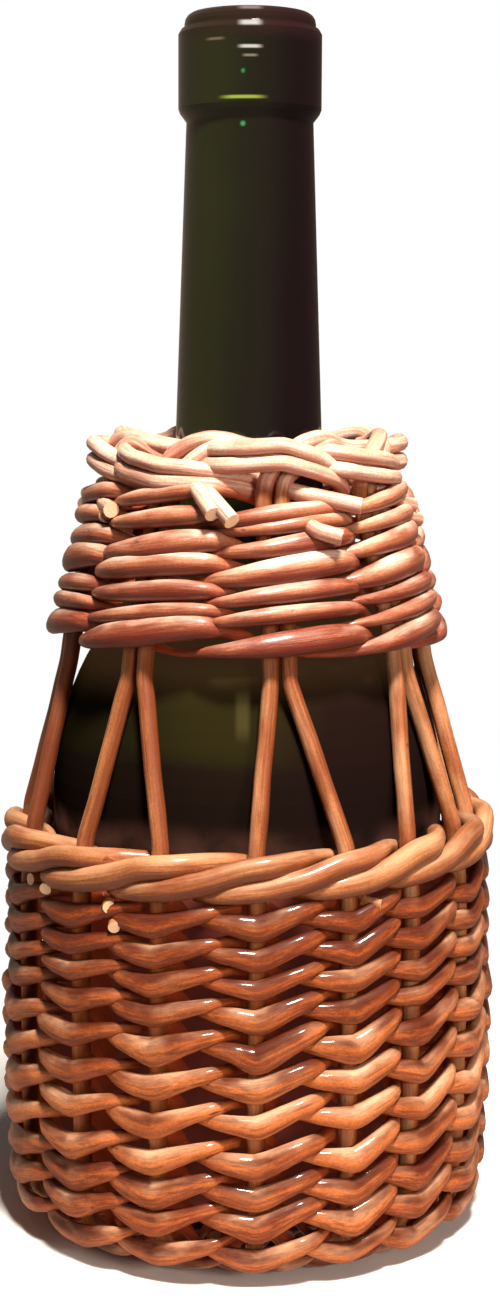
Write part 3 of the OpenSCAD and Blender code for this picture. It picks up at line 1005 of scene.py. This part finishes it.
def baseSticks():
    # Half of the sticks lie across the other half, and all open out like spokes
    quarter = pairCount // 2
    paths = []
    for k in range(pairCount):
        lower = k < quarter
        first = 0 if lower else quarter
        place = k - first
        far = first + pairCount + quarter - 1 - place
        way = stakeAngle(first + (quarter - 1) / 2) + step / 2
        aside = (place - (quarter - 1) / 2) * base["stickPitch"]
        z = basket["baseZ"] + (-1 if lower else 1) * base["stickRise"]
        cx, cy = aside * sind(way + 90), -aside * cosd(way + 90)
        ox, oy = base["crossHalf"] * sind(way), -base["crossHalf"] * cosd(way)
        paths.append([
            spoke(k, base["stickEnd"]), spoke(k, base["bendR"]),
            flatStation(cx + ox, cy + oy, z), flatStation(cx - ox, cy - oy, z),
            spoke(far, base["bendR"]), spoke(far, base["stickEnd"]),
        ])
    sticks = makeRods("baseSticks", paths, **base["stickForm"])
    dress(sticks, "willow_brown", "base_sticks")


baseSticks()
print("base sticks laid")


# Away from the basket the floor fades into the white behind it
floorLook = {"size": 6, "colour": srgb(250, 249, 247), "rough": 0.9, "fade": (0.24, 0.10)}


def stageFloor():
    bpy.ops.object.select_all(action="DESELECT")
    bpy.ops.mesh.primitive_plane_add(size=floorLook["size"], location=(0, 0, 0))
    floor = bpy.context.object
    floor.name = "paleFloor"
    f = Finish("paleFloor")
    away = f.add("ShaderNodeVectorMath", {"operation": "LENGTH"}, {0: f.place()}, output=1)
    floor.data.materials.append(f.surface(
        Base_Color=floorLook["colour"], Roughness=floorLook["rough"], Specular_IOR_Level=0.0,
        Alpha=f.ramp(away, *floorLook["fade"])))
    floor.visible_glossy = False


stageFloor()

lights = {
    "key": {
        "place": (0.10, -0.44, 0.92), "aim": (0, 0, 0.12), "size": 0.14, "power": 21,
        "colour": (1, 0.92, 0.82), "shines": True,
    },
    "fill": {
        "place": (0.62, -0.86, 0.34), "aim": (0, 0, 0.07), "size": 0.3, "power": 6.5,
        "colour": (1, 0.90, 0.80), "shines": False,
    },
}


def addLight(name, place, aim, size, power, colour, shines):
    data = bpy.data.lights.new(name, "AREA")
    data.size, data.energy, data.color = size, power, colour
    lamp = bpy.data.objects.new(name, data)
    bpy.context.scene.collection.objects.link(lamp)
    lamp.location = place
    lamp.visible_glossy = shines
    toward = [a - p for a, p in zip(aim, place)]
    flatWay = math.hypot(toward[0], toward[1])
    lamp.rotation_euler = (
        math.atan2(flatWay, -toward[2]), 0, math.atan2(-toward[0], toward[1]))


for name, light in lights.items():
    addLight(name, **light)

# The room as its soft light, what gleams mirror and the white behind: colour and strength
room = {
    "soft": ((1, 0.94, 0.88, 1), 0.07),
    "mirrored": ((1, 0.74, 0.55, 1), 0.32),
    "white": ((1, 1, 1, 1), 1),
}

world = bpy.data.worlds.new("studio")
bpy.context.scene.world = world
world.use_nodes = True
tree = world.node_tree
tree.nodes.clear()
rays = tree.nodes.new("ShaderNodeLightPath")
end = tree.nodes.new("ShaderNodeOutputWorld")


def sky(name):
    node = tree.nodes.new("ShaderNodeBackground")
    node.inputs["Color"].default_value, node.inputs["Strength"].default_value = room[name]
    return node.outputs[0]


def choose(ray, others, these):
    # One sky for the rays of a kind and another for all others
    node = tree.nodes.new("ShaderNodeMixShader")
    for socket, value in zip(node.inputs, (rays.outputs[ray], others, these)):
        tree.links.new(value, socket)
    return node.outputs[0]


around = choose("Is Glossy Ray", sky("soft"), sky("mirrored"))
tree.links.new(choose("Is Camera Ray", around, sky("white")), end.inputs[0])

bpy.context.scene.view_settings.view_transform = "Standard"
print("lit")
